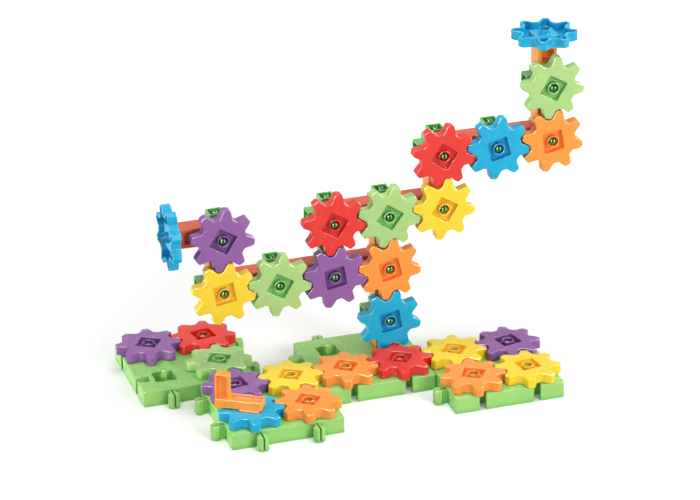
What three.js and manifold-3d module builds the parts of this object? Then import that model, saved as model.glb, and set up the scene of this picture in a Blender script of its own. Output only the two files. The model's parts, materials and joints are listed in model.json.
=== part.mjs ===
// Hand-cranked gear building toy in moulded plastic: four interlocking base plates carry thirteen
// flat gears, and a tower of six-way hubs joined by square pillars carries thirteen upright gears.
// One hand crank turns the whole train. Two spare gears cap the ends of two pillars.
// Millimetres, +Z up. The origin is on the ground under the middle of plate C, and X runs along the row.
import * as THREE from 'three';
import { mergeVertices } from 'three/addons/utils/BufferGeometryUtils.js';
import Module from 'manifold-3d';

const wasm = await Module();
wasm.setup();

// The grid that every piece snaps to
const PITCH = 56; // centre distance of two gears in mesh, and of two sockets
const FIT = 0.3; // gap left between pieces that plug into or lie on each other
const RUN = 0.3; // extra radial gap where a gear turns on its peg
const OVERRUN = 1; // how far a cut runs past the face it opens
const WELD = 1e-4; // corners closer than this are one

// Base plates
const PLATE_WALL = 2.2;
const PLATE_TOP = 2.6;
const SOCKETS_PER_SIDE = 2;
const SOCKET_FLOOR = 6; // height of the floor that a pillar or a gear's column stands over
const CUP_WALL = 1.8; // wall of the socket cup under the plate
const FOOT_WIDTH = 14; // pillar under the middle of each plate

// Snap tabs and notches along the plate edges
const TAB_NECK = 6;
const TAB_HEAD = 11;
const TAB_REACH = 12.6;
const TAB_NOSE = 3; // length of the narrowing end
const TAB_SLOT = 1.3;
const TAB_DROP = 1.9; // tab top below the plate top
const NOTCH_GAP = 0.4; // room on each side of a tab in its notch
const NOTCH_RUN = 0.7; // room past the end of a tab

// Gears
const TEETH = 8;
const GEAR_THICKNESS = 10.2;
const TOOTH_DEPTH = 9; // from the valley corners to the tip
const TIP_CLEARANCE = 0.8; // between a tip and the valley corners of the gear that it runs into
const TIP_WIDTH = 5.6;
const BACKLASH = 2.6; // a tooth's width at the pitch circle falls short of its share by this much
const TIP_DROP = 1; // how far the face has fallen at the tooth tips, from the tooth roots
const VALLEY_WALL = 3.4; // between a valley corner and the hollow back
const TIP_WALL = 5.7; // between a tip and the hollow back
const FACE_WALL = 2;
const GEAR_LIFT = 0.4; // gear back above the plate
const SEAT_DEPTH = 5.5; // square seat in the gear face
const SEAT_FLOOR = 1.4;
const SEAT_WALL = 1.6;
const RING_DIAMETER = 12; // hub ring standing in the seat
const HUB_SIDES = 6; // flats on the ring, bore and column
const COLUMN_DIAMETER = 11; // hub column behind the seat
const COLUMN_REACH = 1.9; // how far the column stands out of the gear's back

// Pegs
const PEG_DIAMETER = 6.2;
const PEG_SIDES = 4;
const POST_RECESS = 2.6; // plate post below the gear face

// Six-way hubs
const ARM_WIDTH = 15.6;
const ARM_WALL = 1.8;
const ARM_FLOOR = 2; // between an open arm's floor and the sides of the arms beside it

// Square pillars
const PILLAR_WALL = 1.9; // round an end socket
const PILLAR_FLOOR = 1.4; // wall between each end socket and the pockets
const POCKET_RAIL = 3.8; // beside a pocket
const POCKET_WEB = 2.4; // wall left between the front and back pocket
const SLEEVE_WALL = 1.4; // round the plate post inside the lowest pillar
const CROSS_LAP = 7.3; // how far the lowest upright gear's tips reach below the flat gears' faces

// Hand crank
const CRANK_ARM_WIDTH = 16;
const CRANK_ARM_HEIGHT = 9;
const CRANK_TAIL = 11.9; // arm beyond the gear centre, away from the grip
const CRANK_GRIP_WIDTH = 13.8;
const CRANK_GRIP_DEPTH = 9.4;
const CRANK_GRIP_RISE = 24.6; // grip above the arm
const CRANK_RIM = 2;
const CRANK_POCKET = 3.4; // depth of the hollows in the arm's top and in the grip's front and back
const CRANK_CLEAR = 0.6; // arm above the neighbouring gears' faces
const PLUG_LAP = 0.4; // how far the plug runs up into the arm
const PLUG_WALL = 3.2;

// Sizes that follow
const VALLEY_REACH = (PITCH - TIP_CLEARANCE - TOOTH_DEPTH) / 2; // to a valley corner, along its tooth
const TIP_REACH = VALLEY_REACH + TOOTH_DEPTH; // gear centre to the middle of a tip
const PITCH_WIDTH = (Math.PI * PITCH) / (2 * TEETH) - BACKLASH; // a tooth's width at the pitch circle
const FLANK_SPREAD = (PITCH_WIDTH - TIP_WIDTH) / (TIP_REACH - PITCH / 2); // width gained for each step inward
const ROOT_WIDTH = TIP_WIDTH + FLANK_SPREAD * TOOTH_DEPTH;
const HOLLOW_VALLEY_RADIUS = VALLEY_REACH - VALLEY_WALL;
const HOLLOW_TOOTH_RADIUS = TIP_REACH - TIP_WALL;
const ARM_REACH = PITCH / 2 - FIT - SEAT_FLOOR - SEAT_DEPTH; // puts the gear faces half a pitch before the hubs
const PILLAR_WIDTH = ARM_WIDTH + 2 * FIT + 2 * PILLAR_WALL;
const POCKET_WIDTH = PILLAR_WIDTH - 2 * POCKET_RAIL;
const PILLAR_START = PILLAR_WIDTH / 2 + FIT; // hub centre to pillar end, clear of a pillar on the next arm
const PILLAR_LENGTH = PITCH - 2 * PILLAR_START;
const PILLAR_SOCKET = ARM_REACH + FIT - PILLAR_START;
const SEAT_WIDTH = PILLAR_WIDTH + 2 * FIT;
const BORE_RADIUS = (PEG_DIAMETER / 2 + FIT + RUN) / Math.cos(Math.PI / HUB_SIDES);
const GEAR_FACE_REACH = ARM_REACH + FIT + SEAT_FLOOR + SEAT_DEPTH; // hub centre to gear face
const TOWER_BASE = SOCKET_FLOOR + FIT + PILLAR_LENGTH + PILLAR_START; // lowest hub centre
const BASE_GEAR_FACE = TOWER_BASE - TIP_REACH + CROSS_LAP;
const PLATE_HEIGHT = BASE_GEAR_FACE - GEAR_THICKNESS - GEAR_LIFT;
const TAB_HEIGHT = PLATE_HEIGHT - TAB_DROP;
const NOTCH_DEPTH = TAB_REACH + NOTCH_RUN;
const POST_TOP = BASE_GEAR_FACE - POST_RECESS;
const CRANK_ARM_TOP = CRANK_CLEAR + CRANK_ARM_HEIGHT;
const PLUG_BORE = PILLAR_WIDTH - 2 * PLUG_WALL;
const CAP_GEAR_REACH = PILLAR_START + PILLAR_LENGTH + FIT - SEAT_DEPTH; // hub centre to the face of a cap gear
const PLATE_SIDE = SOCKETS_PER_SIDE * PITCH - FIT;

// Turns, in steps of half a tooth. The whole train is also stopped a little way round, with neighbours
// in opposite senses.
const HALF_TOOTH = Math.PI / TEETH;
const TRAIN_TURN = Math.PI / 20;

const COLOURS = {
  lime: 0x8fcf6a,
  green: 0x86cf6c,
  purple: 0x8a52a8,
  red: 0xe5352f,
  yellow: 0xf6d52e,
  orange: 0xf58a2c,
  blue: 0x14a4d8,
  amber: 0xf7973a,
  coral: 0xdb6238,
};

// Where each thing stands on the grid, in pitches from the socket under column 0
const ORIGIN = { x: 2.5, y: -0.5 };
const PLATES = [
  { name: 'plate_a', x: -0.5, y: 0.5, tabs: ['front', 'right'] },
  { name: 'plate_b', x: 0.5, y: -1.5, tabs: ['front', 'left'] },
  { name: 'plate_c', x: 2.5, y: -0.5, tabs: ['back', 'left'] },
  { name: 'plate_d', x: 4.5, y: -1.5, tabs: ['back', 'left'] },
];
const BASE_GEARS = [
  { name: 'base_gear_a1_purple', x: -1, y: 1, colour: 'purple', turn: -1 },
  { name: 'base_gear_a2_red', x: 0, y: 1, colour: 'red', turn: 0 },
  { name: 'base_gear_a3_green', x: 0, y: 0, colour: 'green', turn: -1 },
  { name: 'base_gear_b1_purple', x: 0, y: -1, colour: 'purple', turn: 0 },
  { name: 'base_gear_b2_yellow', x: 1, y: -1, colour: 'yellow', turn: -1 },
  { name: 'base_gear_b3_blue', x: 0, y: -2, colour: 'blue', turn: -1 },
  { name: 'base_gear_b4_orange', x: 1, y: -2, colour: 'orange', turn: 2 },
  { name: 'base_gear_c1_orange', x: 2, y: -1, colour: 'orange', turn: 2 },
  { name: 'base_gear_c2_red', x: 3, y: -1, colour: 'red', turn: -1 },
  { name: 'base_gear_d1_yellow', x: 4, y: -1, colour: 'yellow', turn: 2 },
  { name: 'base_gear_d2_purple', x: 5, y: -1, colour: 'purple', turn: 1 },
  { name: 'base_gear_d3_orange', x: 4, y: -2, colour: 'orange', turn: -1 },
  { name: 'base_gear_d4_yellow', x: 5, y: -2, colour: 'yellow', turn: 0 },
];
const HUBS = [
  { column: 3, row: 1, colour: 'blue', turn: 0 },
  { column: 0, row: 2, colour: 'yellow', turn: 0 },
  { column: 1, row: 2, colour: 'green', turn: -1 },
  { column: 2, row: 2, colour: 'purple', turn: 0 },
  { column: 3, row: 2, colour: 'orange', turn: 1 },
  { column: 0, row: 3, colour: 'purple', turn: -1 },
  { column: 2, row: 3, colour: 'red', turn: -1 },
  { column: 3, row: 3, colour: 'green', turn: 2 },
  { column: 4, row: 3, colour: 'yellow', turn: -1 },
  { column: 4, row: 4, colour: 'red', turn: 2 },
  { column: 5, row: 4, colour: 'blue', turn: 1 },
  { column: 6, row: 4, colour: 'orange', turn: 0 },
  { column: 6, row: 5, colour: 'green', turn: -1 },
];
const BEAMS = [
  { column: 0, row: 2 },
  { column: 1, row: 2 },
  { column: 2, row: 2 },
  { column: -1, row: 3 },
  { column: 2, row: 3 },
  { column: 3, row: 3 },
  { column: 4, row: 4 },
  { column: 5, row: 4 },
];
const UPRIGHTS = [
  { column: 3, row: 1 },
  { column: 3, row: 2 },
  { column: 0, row: 2 },
  { column: 4, row: 3 },
  { column: 6, row: 4 },
  { column: 6, row: 5 },
];

// Closed solids from three.js shapes
function solid(geometry) {
  const bare = geometry.index ? geometry.toNonIndexed() : geometry.clone();
  bare.deleteAttribute('normal');
  bare.deleteAttribute('uv');
  const joined = mergeVertices(bare, WELD);
  return new wasm.Manifold(
    new wasm.Mesh({
      numProp: 3,
      vertProperties: new Float32Array(joined.attributes.position.array),
      triVerts: new Uint32Array(joined.index.array),
    }),
  );
}

function geometryOf(body) {
  const mesh = body.getMesh();
  const geometry = new THREE.BufferGeometry();
  geometry.setAttribute('position', new THREE.BufferAttribute(new Float32Array(mesh.vertProperties), 3));
  geometry.setIndex(new THREE.BufferAttribute(new Uint32Array(mesh.triVerts), 1));
  geometry.computeVertexNormals();
  return geometry;
}

// A box by its two corners along each axis
function block([x0, x1], [y0, y1], [z0, z1]) {
  const geometry = new THREE.BoxGeometry(x1 - x0, y1 - y0, z1 - z0);
  return solid(geometry.translate((x0 + x1) / 2, (y0 + y1) / 2, (z0 + z1) / 2));
}

function squareBlock(width, z0, z1) {
  return block([-width / 2, width / 2], [-width / 2, width / 2], [z0, z1]);
}

// An upright prism with its first corner turned half a side, so that a flat faces +X
function prism(radius, sides, z0, z1) {
  const geometry = new THREE.CylinderGeometry(radius, radius, z1 - z0, sides);
  geometry.rotateX(Math.PI / 2).rotateZ(Math.PI / sides);
  return solid(geometry.translate(0, 0, (z0 + z1) / 2));
}

// An outline in the XY plane raised from z0 to z1
function raised(points, z0, z1) {
  const shape = new THREE.Shape(points.map(([x, y]) => new THREE.Vector2(x, y)));
  const geometry = new THREE.ExtrudeGeometry(shape, { depth: z1 - z0, bevelEnabled: false });
  return solid(geometry.translate(0, 0, z0));
}

function joined(bodies) {
  return bodies.reduce((whole, body) => whole.add(body));
}

function polar(radius, angle) {
  return [radius * Math.cos(angle), radius * Math.sin(angle)];
}

// Teeth with straight flanks and flat tips. A valley lies on each seat side and corner.
function gearOutline() {
  const points = [];
  const tip = Math.atan2(TIP_WIDTH / 2, TIP_REACH);
  const root = Math.atan2(ROOT_WIDTH / 2, VALLEY_REACH);
  const tipRadius = Math.hypot(TIP_REACH, TIP_WIDTH / 2);
  const rootRadius = Math.hypot(VALLEY_REACH, ROOT_WIDTH / 2);
  for (let tooth = 0; tooth < TEETH; tooth += 1) {
    const middle = (2 * tooth + 1) * HALF_TOOTH;
    points.push(polar(rootRadius, middle - root));
    points.push(polar(tipRadius, middle - tip));
    points.push(polar(tipRadius, middle + tip));
    points.push(polar(rootRadius, middle + root));
  }
  return points;
}

// The hollow of the back runs out into every tooth
function hollowOutline() {
  const points = [];
  for (let tooth = 0; tooth < TEETH; tooth += 1) {
    points.push(polar(HOLLOW_VALLEY_RADIUS, 2 * tooth * HALF_TOOTH));
    points.push(polar(HOLLOW_TOOTH_RADIUS, (2 * tooth + 1) * HALF_TOOTH));
  }
  return points;
}

// The flat face falls away along each tooth, by how far out a point lies along the middle of its tooth
function faceHeight([x, y]) {
  const angle = Math.atan2(y, x);
  const middle = (2 * Math.floor(angle / (2 * HALF_TOOTH)) + 1) * HALF_TOOTH;
  const out = Math.hypot(x, y) * Math.cos(angle - middle);
  return (-TIP_DROP * Math.max(out - VALLEY_REACH, 0)) / TOOTH_DEPTH;
}

// The toothed block: the outline between the back and a face that slopes down along every tooth
function toothedBlock(back) {
  const outline = gearOutline();
  const count = outline.length;
  const positions = [
    ...outline.map((point) => [...point, back]),
    ...outline.map((point) => [...point, faceHeight(point)]),
  ];
  const triangles = [];
  for (let i = 0; i < count; i += 1) {
    const next = (i + 1) % count;
    triangles.push([i, next, count + next], [i, count + next, count + i]);
  }
  const flat = outline.map(([x, y]) => new THREE.Vector2(x, y));
  for (const [a, b, c] of THREE.ShapeUtils.triangulateShape(flat, [])) {
    triangles.push([a, c, b]);
  }
  const perTooth = count / TEETH;
  const plateau = [];
  for (let first = count; first < 2 * count; first += perTooth) {
    const last = first + perTooth - 1;
    plateau.push(first, last);
    for (let i = first + 1; i < last; i += 1) {
      triangles.push([first, i, i + 1]);
    }
  }
  for (let i = 1; i < plateau.length - 1; i += 1) {
    triangles.push([plateau[0], plateau[i], plateau[i + 1]]);
  }
  const geometry = new THREE.BufferGeometry();
  geometry.setAttribute('position', new THREE.Float32BufferAttribute(positions.flat(), 3));
  geometry.setIndex(triangles.flat());
  return solid(geometry);
}

// A gear with its axis on Z, its face up at z = 0 and its hollow back below
function gearBody() {
  const back = -GEAR_THICKNESS;
  const seatBottom = -SEAT_DEPTH - SEAT_FLOOR;
  const inFloor = -SEAT_DEPTH - SEAT_FLOOR / 2;
  const seat = squareBlock(SEAT_WIDTH + 2 * SEAT_WALL, seatBottom, -FACE_WALL / 2);
  const ring = prism(RING_DIAMETER / 2, HUB_SIDES, inFloor, 0);
  const column = prism(COLUMN_DIAMETER / 2, HUB_SIDES, back - COLUMN_REACH, inFloor);
  const bore = prism(BORE_RADIUS, HUB_SIDES, back - COLUMN_REACH - OVERRUN, OVERRUN);
  return toothedBlock(back)
    .subtract(raised(hollowOutline(), back - OVERRUN, -FACE_WALL))
    .add(seat)
    .subtract(squareBlock(SEAT_WIDTH, -SEAT_DEPTH, OVERRUN))
    .add(ring)
    .add(column)
    .subtract(bore);
}

// A snap tab on the +Y edge of a plate whose edge lies at y = 0, split down its middle
function tabBody() {
  const outline = [
    [-TAB_NECK / 2, -PLATE_WALL / 2],
    [TAB_NECK / 2, -PLATE_WALL / 2],
    [TAB_HEAD / 2, TAB_REACH / 2],
    [TAB_HEAD / 2, TAB_REACH - TAB_NOSE],
    [TAB_NECK / 2, TAB_REACH],
    [-TAB_NECK / 2, TAB_REACH],
    [-TAB_HEAD / 2, TAB_REACH - TAB_NOSE],
    [-TAB_HEAD / 2, TAB_REACH / 2],
  ];
  const slot = block([-TAB_SLOT / 2, TAB_SLOT / 2], [FIT, TAB_REACH + OVERRUN], [-OVERRUN, PLATE_HEIGHT]);
  return raised(outline, 0, TAB_HEIGHT).subtract(slot);
}

// The notch that takes the next plate's tab, cut inward from an edge at y = 0, with the plates FIT apart
function notchBody() {
  const neck = TAB_NECK / 2 + NOTCH_GAP;
  const head = TAB_HEAD / 2 + NOTCH_GAP;
  const outline = [
    [-neck, -PLATE_WALL / 2 - FIT],
    [neck, -PLATE_WALL / 2 - FIT],
    [head, TAB_REACH / 2 - FIT],
    [head, NOTCH_DEPTH],
    [-head, NOTCH_DEPTH],
    [-head, TAB_REACH / 2 - FIT],
  ];
  return raised(outline, -OVERRUN, PLATE_HEIGHT + OVERRUN);
}

const EDGE_TURNS = { back: 0, left: Math.PI / 2, front: Math.PI, right: -Math.PI / 2 };
const DEGREES = 180 / Math.PI;

// A plate centred on Z with its foot at z = 0
function plateBody(tabEdges) {
  const half = PLATE_SIDE / 2;
  const inner = half - PLATE_WALL;
  const wallHeight = PLATE_HEIGHT - PLATE_TOP;
  const cupWidth = SEAT_WIDTH + 2 * CUP_WALL;
  const cupBottom = Math.max(SOCKET_FLOOR - CUP_WALL, FIT);
  let body = squareBlock(PLATE_SIDE, 0, PLATE_HEIGHT);
  body = body.subtract(block([-inner, inner], [-inner, inner], [-OVERRUN, wallHeight]));
  body = body.add(squareBlock(FOOT_WIDTH, 0, PLATE_HEIGHT - PLATE_TOP / 2));
  for (const across of [-PITCH / 2, PITCH / 2]) {
    for (const along of [-PITCH / 2, PITCH / 2]) {
      const place = [across, along, 0];
      const cup = squareBlock(cupWidth, cupBottom, PLATE_HEIGHT - PLATE_TOP / 2);
      const well = squareBlock(SEAT_WIDTH, SOCKET_FLOOR, PLATE_HEIGHT + OVERRUN);
      const post = prism(PEG_DIAMETER / 2, PEG_SIDES, SOCKET_FLOOR - CUP_WALL / 2, POST_TOP);
      body = body.add(cup.translate(place)).subtract(well.translate(place)).add(post.translate(place));
    }
  }
  for (const [edge, turn] of Object.entries(EDGE_TURNS)) {
    for (const across of [-PITCH / 2, PITCH / 2]) {
      if (tabEdges.includes(edge)) {
        const tab = tabBody().translate([across, half, 0]);
        body = body.add(tab.rotate([0, 0, turn * DEGREES]));
      } else {
        const padHalf = TAB_HEAD / 2 + NOTCH_GAP + PLATE_WALL;
        const pad = block(
          [across - padHalf, across + padHalf],
          [half - NOTCH_DEPTH - PLATE_WALL, half - PLATE_WALL / 2],
          [0, PLATE_HEIGHT - PLATE_TOP / 2],
        );
        const notch = notchBody().rotate([0, 0, Math.PI * DEGREES]).translate([across, half, 0]);
        body = body.add(pad.rotate([0, 0, turn * DEGREES])).subtract(notch.rotate([0, 0, turn * DEGREES]));
      }
    }
  }
  return body;
}

const ARM_DOWN = [180, 0, 0];
const ARM_DIRECTIONS = [
  ARM_DOWN,
  [0, 0, 0],
  [90, 0, 0],
  [-90, 0, 0],
  [0, 90, 0],
  [0, -90, 0],
];

// A hub centred on the origin: six square arms that meet. The open ones hold a peg each.
function hubBody(openArms) {
  const arm = squareBlock(ARM_WIDTH, 0, ARM_REACH);
  const armFloor = ARM_WIDTH / 2 + ARM_FLOOR;
  const hollow = squareBlock(ARM_WIDTH - 2 * ARM_WALL, armFloor, ARM_REACH + OVERRUN);
  const peg = prism(PEG_DIAMETER / 2, PEG_SIDES, armFloor - ARM_WALL / 2, ARM_REACH);
  let body = joined(ARM_DIRECTIONS.map((turn) => arm.rotate(turn)));
  for (const turn of openArms) {
    body = body.subtract(hollow.rotate(turn)).add(peg.rotate(turn));
  }
  return body;
}

// A pillar on Z from z = bottom to bottom + its length: a socket in its lower end, a deep pocket in its
// front and back, and a socket in its upper end if that isn't fused to a hub
function pillarBody(bottom, upperSocket) {
  const socketWidth = ARM_WIDTH + 2 * FIT;
  const top = bottom + PILLAR_LENGTH;
  const pocket = block(
    [-POCKET_WIDTH / 2, POCKET_WIDTH / 2],
    [POCKET_WEB / 2, PILLAR_WIDTH],
    [bottom + PILLAR_SOCKET + PILLAR_FLOOR, top - PILLAR_SOCKET - PILLAR_FLOOR],
  );
  const body = squareBlock(PILLAR_WIDTH, bottom, top)
    .subtract(squareBlock(socketWidth, bottom - OVERRUN, bottom + PILLAR_SOCKET))
    .subtract(pocket)
    .subtract(pocket.rotate([0, 0, 180]));
  return upperSocket ? body.subtract(squareBlock(socketWidth, top - PILLAR_SOCKET, top + OVERRUN)) : body;
}

// The lowest hub in one piece with the pillar under it, which has a sleeve for the plate post
function rootHubBody() {
  const bottom = -PILLAR_START - PILLAR_LENGTH;
  const sleeveStart = bottom + PILLAR_SOCKET;
  const sleeve = squareBlock(PEG_DIAMETER + 2 * SLEEVE_WALL, sleeveStart, -PILLAR_START - PILLAR_SOCKET);
  const bore = prism(PEG_DIAMETER / 2 + 2 * FIT, PEG_SIDES, sleeveStart - OVERRUN, POST_TOP + FIT - TOWER_BASE);
  const openArms = ARM_DIRECTIONS.filter((turn) => turn !== ARM_DOWN);
  return hubBody(openArms).add(pillarBody(bottom, false)).add(sleeve).subtract(bore);
}

// The crank: a flat arm with a hollow top, a grip on its end and a square plug under it.
// The grip stands towards -X, and z = 0 lies at the gear's face.
function crankBody() {
  const halfArm = CRANK_ARM_WIDTH / 2;
  const halfDepth = CRANK_GRIP_DEPTH / 2;
  const left = -PITCH / 2 - CRANK_GRIP_WIDTH / 2;
  const right = left + CRANK_GRIP_WIDTH;
  const gripTop = CRANK_ARM_TOP + CRANK_GRIP_RISE;
  const inArm = CRANK_ARM_TOP - CRANK_POCKET;
  const inner = halfArm - CRANK_RIM;
  const arm = block([left, CRANK_TAIL], [-halfArm, halfArm], [CRANK_CLEAR, CRANK_ARM_TOP]);
  const trough = block(
    [right + CRANK_RIM, CRANK_TAIL - CRANK_RIM],
    [-inner, inner],
    [inArm, CRANK_ARM_TOP + OVERRUN],
  );
  const grip = block([left, right], [-halfDepth, halfDepth], [inArm, gripTop]);
  const pocket = block(
    [left + CRANK_RIM, right - CRANK_RIM],
    [halfDepth - CRANK_POCKET, halfDepth + OVERRUN],
    [CRANK_ARM_TOP, gripTop - CRANK_RIM],
  );
  const plug = squareBlock(PILLAR_WIDTH, FIT - SEAT_DEPTH, CRANK_CLEAR + PLUG_LAP);
  const bore = squareBlock(PLUG_BORE, -SEAT_DEPTH - OVERRUN, CRANK_CLEAR);
  return arm
    .subtract(trough)
    .add(grip)
    .subtract(pocket)
    .subtract(pocket.mirror([0, 1, 0]))
    .add(plug)
    .subtract(bore);
}

const toy = new THREE.Group();

function material(colour) {
  return new THREE.MeshStandardMaterial({ color: COLOURS[colour], roughness: 0.35, metalness: 0 });
}

function addMesh(name, geometry, colour, position, rotation = [0, 0, 0], parent = toy) {
  const mesh = new THREE.Mesh(geometry, material(colour));
  mesh.name = name;
  mesh.position.set(...position);
  mesh.rotation.set(...rotation);
  parent.add(mesh);
  return mesh;
}

function gridX(column) {
  return (column - ORIGIN.x) * PITCH;
}

function gridY(line) {
  return (line - ORIGIN.y) * PITCH;
}

function hubHeight(row) {
  return TOWER_BASE + (row - 1) * PITCH;
}

// A gear's turn at rest. Its neighbours, one step on, are turned the other way.
function restTurn(halfTeeth, step) {
  return halfTeeth * HALF_TOOTH + (step % 2 === 0 ? TRAIN_TURN : -TRAIN_TURN);
}

// Base plates with their flat gears
for (const plate of PLATES) {
  const geometry = geometryOf(plateBody(plate.tabs));
  addMesh(plate.name, geometry, 'lime', [gridX(plate.x), gridY(plate.y), 0]);
}
const gearGeometry = geometryOf(gearBody());
for (const gear of BASE_GEARS) {
  const place = [gridX(gear.x), gridY(gear.y), BASE_GEAR_FACE];
  addMesh(gear.name, gearGeometry, gear.colour, place, [0, 0, restTurn(gear.turn, gear.x + gear.y + 1)]);
}

// The crank sits in the seat of its blue gear and turns with it
const crankGear = BASE_GEARS.find((gear) => gear.name === 'base_gear_b3_blue');
addMesh(
  'hand_crank',
  geometryOf(crankBody()),
  'amber',
  [gridX(crankGear.x), gridY(crankGear.y), BASE_GEAR_FACE],
  [0, 0, restTurn(crankGear.turn, crankGear.x + crankGear.y + 1)],
);

// Hubs with their upright gears, which face the front
const hubGeometry = geometryOf(hubBody(ARM_DIRECTIONS));
const pillarGeometry = geometryOf(pillarBody(0, true));
const quarter = Math.PI / 2;
for (const hub of HUBS) {
  const centre = [gridX(hub.column), gridY(0), hubHeight(hub.row)];
  const label = `c${hub.column}_r${hub.row}`;
  const geometry = hub.row === 1 ? geometryOf(rootHubBody()) : hubGeometry;
  addMesh(`hub_${label}`, geometry, 'green', centre);
  const facing = new THREE.Group();
  facing.position.set(centre[0], centre[1] - GEAR_FACE_REACH, centre[2]);
  facing.rotation.set(quarter, 0, 0);
  toy.add(facing);
  const turned = [0, 0, restTurn(hub.turn, hub.column + hub.row)];
  addMesh(`wall_gear_${label}_${hub.colour}`, gearGeometry, hub.colour, [0, 0, 0], turned, facing);
}

// Pillars: beams run along X from their column, uprights run up from their row
for (const beam of BEAMS) {
  const name = beam.column < 0 ? 'beam_left_r3' : `beam_c${beam.column}_c${beam.column + 1}_r${beam.row}`;
  addMesh(
    name,
    pillarGeometry,
    'coral',
    [gridX(beam.column) + PILLAR_START, gridY(0), hubHeight(beam.row)],
    [0, quarter, 0],
  );
}
for (const upright of UPRIGHTS) {
  const name = `upright_c${upright.column}_r${upright.row}_r${upright.row + 1}`;
  const place = [gridX(upright.column), gridY(0), hubHeight(upright.row) + PILLAR_START];
  addMesh(name, pillarGeometry, 'amber', place);
}

// Two gears pressed back to front onto pillar ends, one above and one at the left
addMesh(
  'cap_gear_top_blue',
  gearGeometry,
  'blue',
  [gridX(6), gridY(0), hubHeight(5) + CAP_GEAR_REACH],
  [Math.PI, 0, 0],
);
addMesh(
  'cap_gear_left_blue',
  gearGeometry,
  'blue',
  [gridX(0) - CAP_GEAR_REACH, gridY(0), hubHeight(3)],
  [0, quarter, 0],
);

export default toy;
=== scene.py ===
"""A hand-cranked gear building toy in glossy moulded plastic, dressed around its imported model.

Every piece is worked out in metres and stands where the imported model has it."""

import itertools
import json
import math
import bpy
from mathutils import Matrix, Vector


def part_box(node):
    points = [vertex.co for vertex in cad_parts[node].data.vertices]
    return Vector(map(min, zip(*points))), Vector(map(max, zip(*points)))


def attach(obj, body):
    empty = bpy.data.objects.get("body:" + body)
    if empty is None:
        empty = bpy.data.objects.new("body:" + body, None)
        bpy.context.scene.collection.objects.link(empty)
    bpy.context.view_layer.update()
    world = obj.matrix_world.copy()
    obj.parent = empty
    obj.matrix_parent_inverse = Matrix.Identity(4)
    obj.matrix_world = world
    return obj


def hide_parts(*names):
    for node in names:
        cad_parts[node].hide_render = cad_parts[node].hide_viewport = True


bl_info = {
    "name": "Gear Building Toy",
    "version": (1, 0, 0),
    "blender": (4, 5, 0),
    "location": "View3D > Sidebar > Gear Toy",
    "description": "Builds the plates, gears, hubs, pillars and crank of a gear building toy",
    "category": "Object",
}

import bmesh
import bpy
import numpy as np
from mathutils import Matrix, Vector
from mathutils.geometry import tessellate_polygon

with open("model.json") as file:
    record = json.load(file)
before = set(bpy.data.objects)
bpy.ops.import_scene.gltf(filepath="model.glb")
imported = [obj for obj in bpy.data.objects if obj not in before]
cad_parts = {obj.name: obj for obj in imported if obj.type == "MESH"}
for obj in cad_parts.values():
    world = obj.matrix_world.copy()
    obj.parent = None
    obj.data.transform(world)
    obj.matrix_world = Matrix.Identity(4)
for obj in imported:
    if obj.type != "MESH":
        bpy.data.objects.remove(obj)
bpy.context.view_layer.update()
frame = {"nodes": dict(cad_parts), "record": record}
NODES = frame["nodes"]
BODY_OF = {node: body for body, nodes in frame["record"]["behaviour"]["bodies"].items() for node in nodes}
MM = 0.001
QUARTER = math.pi / 2
SIDES = ("right", "back", "left", "front")  # of a plate, each a quarter turn on from the one before
FLOOR_GAP = 0.3 * MM  # what hangs under a plate ends this far above the floor
SHARP = 1e-9  # radius of a corner that stays sharp
MERGE = 0.002 * MM  # points closer than this are one
CREASE = math.radians(38)  # edges that turn further than this stay sharp

# How far each moving gear is turned in its starting mesh, in half teeth. Neighbours differ by an odd number.
SEAT_TURNS = {
    "base_gear_a1_purple": -1,
    "base_gear_a2_red": 0,
    "base_gear_a3_green": -1,
    "base_gear_b1_purple": 0,
    "base_gear_b2_yellow": -1,
    "base_gear_b3_blue": -1,
    "base_gear_b4_orange": 2,
    "base_gear_c1_orange": 2,
    "base_gear_c2_red": -1,
    "base_gear_d1_yellow": 2,
    "base_gear_d2_purple": 1,
    "base_gear_d3_orange": -1,
    "base_gear_d4_yellow": 0,
    "wall_gear_c3_r1_blue": 0,
    "wall_gear_c0_r2_yellow": 0,
    "wall_gear_c1_r2_green": -1,
    "wall_gear_c2_r2_purple": 0,
    "wall_gear_c3_r2_orange": 1,
    "wall_gear_c0_r3_purple": -1,
    "wall_gear_c2_r3_red": -1,
    "wall_gear_c3_r3_green": 2,
    "wall_gear_c4_r3_yellow": -1,
    "wall_gear_c4_r4_red": 2,
    "wall_gear_c5_r4_blue": 1,
    "wall_gear_c6_r4_orange": 0,
    "wall_gear_c6_r5_green": -1,
}
TRAIN_TURN = math.radians(9)  # how far the whole train is turned from there, neighbours in opposite senses
CRANK_GEAR = "base_gear_b3_blue"
LOWEST_HUB = "hub_c3_r1"  # this node also holds the pillar that it stands on
# The two sides of each plate that have snap tabs. The other two have notches.
PLATE_TABS = {
    "plate_a": ("front", "right"),
    "plate_b": ("front", "left"),
    "plate_c": ("back", "left"),
    "plate_d": ("back", "left"),
}


def size(name, description, millimetres):
    """A length the user can change, kept in metres."""
    return bpy.props.FloatProperty(
        name=name, description=description, default=millimetres * MM, min=0.0, subtype="DISTANCE", unit="LENGTH"
    )


def power(name, description, watts):
    """A lamp's power, in watts."""
    return bpy.props.FloatProperty(name=name, description=description, default=watts, min=0.0, unit="POWER")


def turned(name, description, degrees):
    """An angle that the user can change, kept in radians."""
    return bpy.props.FloatProperty(
        name=name, description=description, default=math.radians(degrees), subtype="ANGLE", unit="ROTATION"
    )


def linear(value):
    """sRGB hex to linear red, green and blue: a straight line near black and a 2.4 power above it."""
    channels = np.array([value >> 16 & 255, value >> 8 & 255, value & 255]) / 255
    return np.where(channels <= 0.04045, channels / 12.92, ((channels + 0.055) / 1.055) ** 2.4)


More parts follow.
